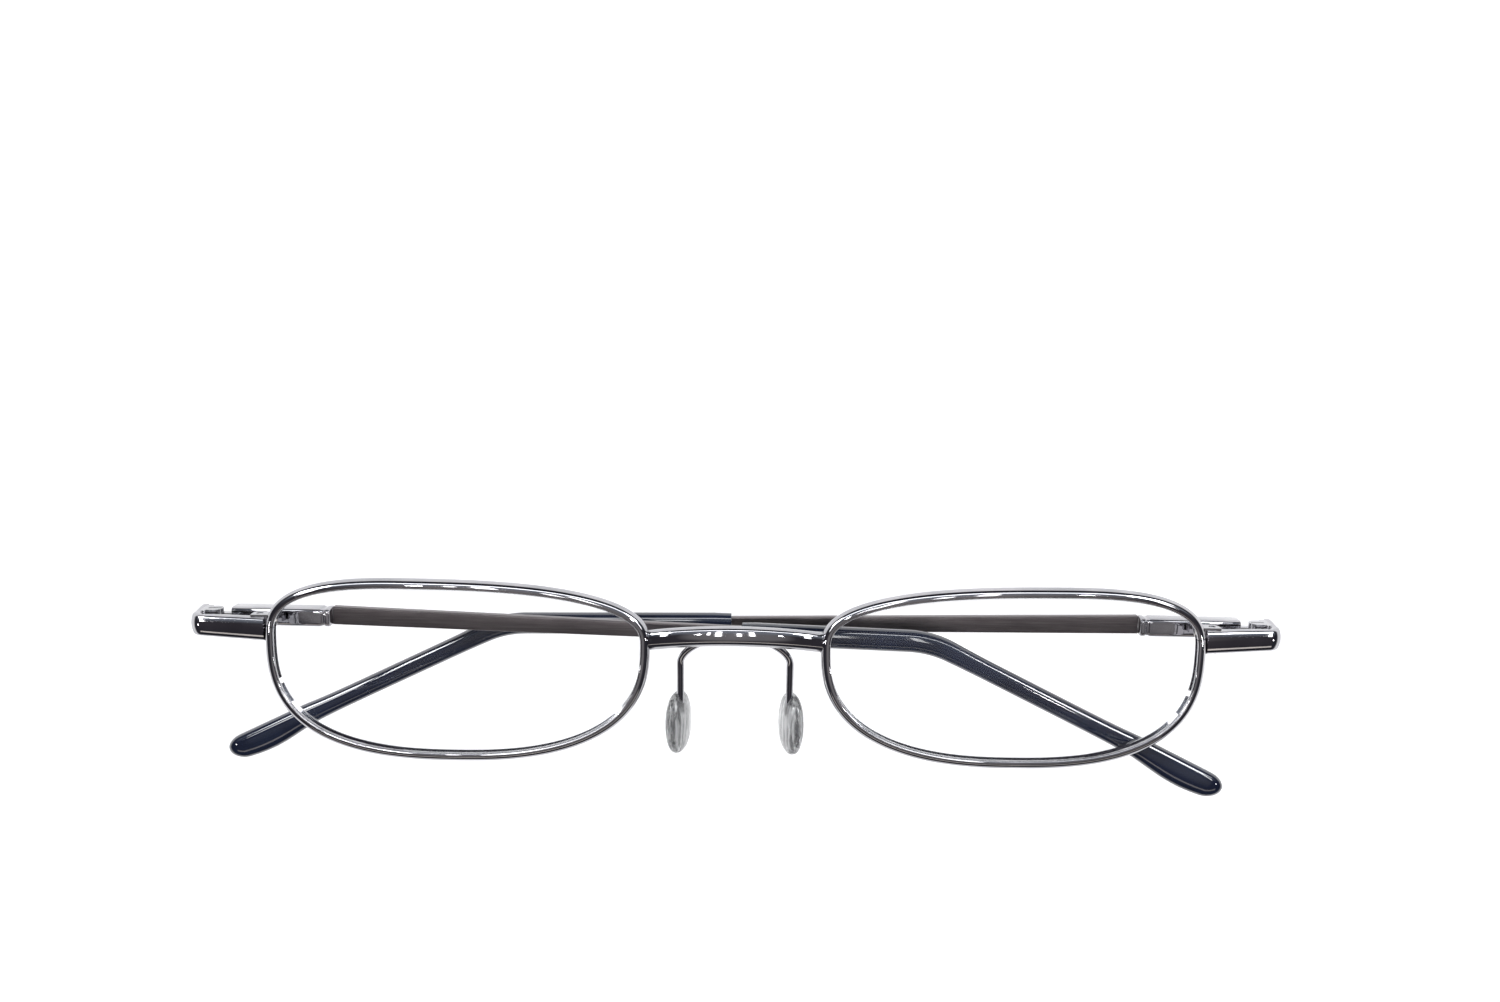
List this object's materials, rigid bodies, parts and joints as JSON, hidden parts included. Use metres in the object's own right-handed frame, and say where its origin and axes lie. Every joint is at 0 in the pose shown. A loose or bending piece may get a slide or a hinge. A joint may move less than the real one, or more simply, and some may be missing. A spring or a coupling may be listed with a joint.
{
  "type": "reading glasses",
  "caption": "Metal full-rim reading glasses with spring hinges, clear nose pads and dark plastic temple tips, stored folded.",
  "frame": {"origin": "centre of the bounding box in X and Y, at the bottom, with the glasses lying folded on the outer side of the left temple", "axes": "+X to the wearer's left, +Y up to the brow, +Z out of the front of the lenses"},
  "size_m": [0.148, 0.0304, 0.0164],
  "materials": {
    "frame": "polished dark gunmetal plating",
    "steel": "bright",
    "temple": "satin gunmetal",
    "tip": "glossy, dark navy",
    "pad": "clear soft plastic",
    "lens": "clear, polished"
  },
  "bodies": {
    "front": {"bridge": "frame", "rim_right": "frame", "lens_right": "lens", "lock_upper_right": "frame", "lock_lower_right": "frame", "lock_screw_right": "steel", "end_piece_right": "frame", "hinge_leaf_right": "steel", "hinge_screw_right": "steel", "pad_arm_right": "steel", "rim_left": "frame", "lens_left": "lens", "lock_upper_left": "frame", "lock_lower_left": "frame", "lock_screw_left": "steel", "end_piece_left": "frame", "hinge_leaf_left": "steel", "hinge_screw_left": "steel", "pad_arm_left": "steel"},
    "tongue_right": {"hinge_tongue_right": "steel", "spring_cap_right": "steel"},
    "temple_right": {"hinge_housing_right": "frame", "spring_stop_right": "steel", "hinge_spring_right": "steel", "temple_bar_right": "temple", "temple_tip_right": "tip"},
    "pad_right": {"nose_pad_right": "pad"},
    "tongue_left": {"hinge_tongue_left": "steel", "spring_cap_left": "steel"},
    "temple_left": {"hinge_housing_left": "frame", "spring_stop_left": "steel", "hinge_spring_left": "steel", "temple_bar_left": "temple", "temple_tip_left": "tip"},
    "pad_left": {"nose_pad_left": "pad"}
  },
  "joints": [
    {"name": "temple_fold_right", "type": "hinge", "parent": "front", "child": "tongue_right", "pos_m": [-0.0711, 0.00817, 0.00924], "axis": [0, 1, 0], "range_deg": [0, 91.6]},
    {"name": "housing_slide_right", "type": "slide", "parent": "tongue_right", "child": "temple_right", "axis": [0.9996, 0, 0.0279], "range_m": [0, 0.00063], "stiffness_N_per_m": 8900, "springref_m": -0.0003, "deforming": ["hinge_spring_right"]},
    {"name": "pad_swivel_right", "type": "hinge", "parent": "front", "child": "pad_right", "pos_m": [-0.00745, -0.00423, 0.01054], "axis": [0, -0.9927, -0.1207], "range_deg": [-8, 8]},
    {"name": "temple_fold_left", "type": "hinge", "parent": "front", "child": "tongue_left", "pos_m": [0.0711, 0.00817, 0.00924], "axis": [0, -1, 0], "range_deg": [0, 87.65]},
    {"name": "housing_slide_left", "type": "slide", "parent": "tongue_left", "child": "temple_left", "axis": [-0.9992, 0, -0.041], "range_m": [0, 0.00063], "stiffness_N_per_m": 8900, "springref_m": -0.0003, "deforming": ["hinge_spring_left"]},
    {"name": "pad_swivel_left", "type": "hinge", "parent": "front", "child": "pad_left", "pos_m": [0.00745, -0.00423, 0.01054], "axis": [0, -0.9927, -0.1207], "range_deg": [-8, 8]}
  ]
}
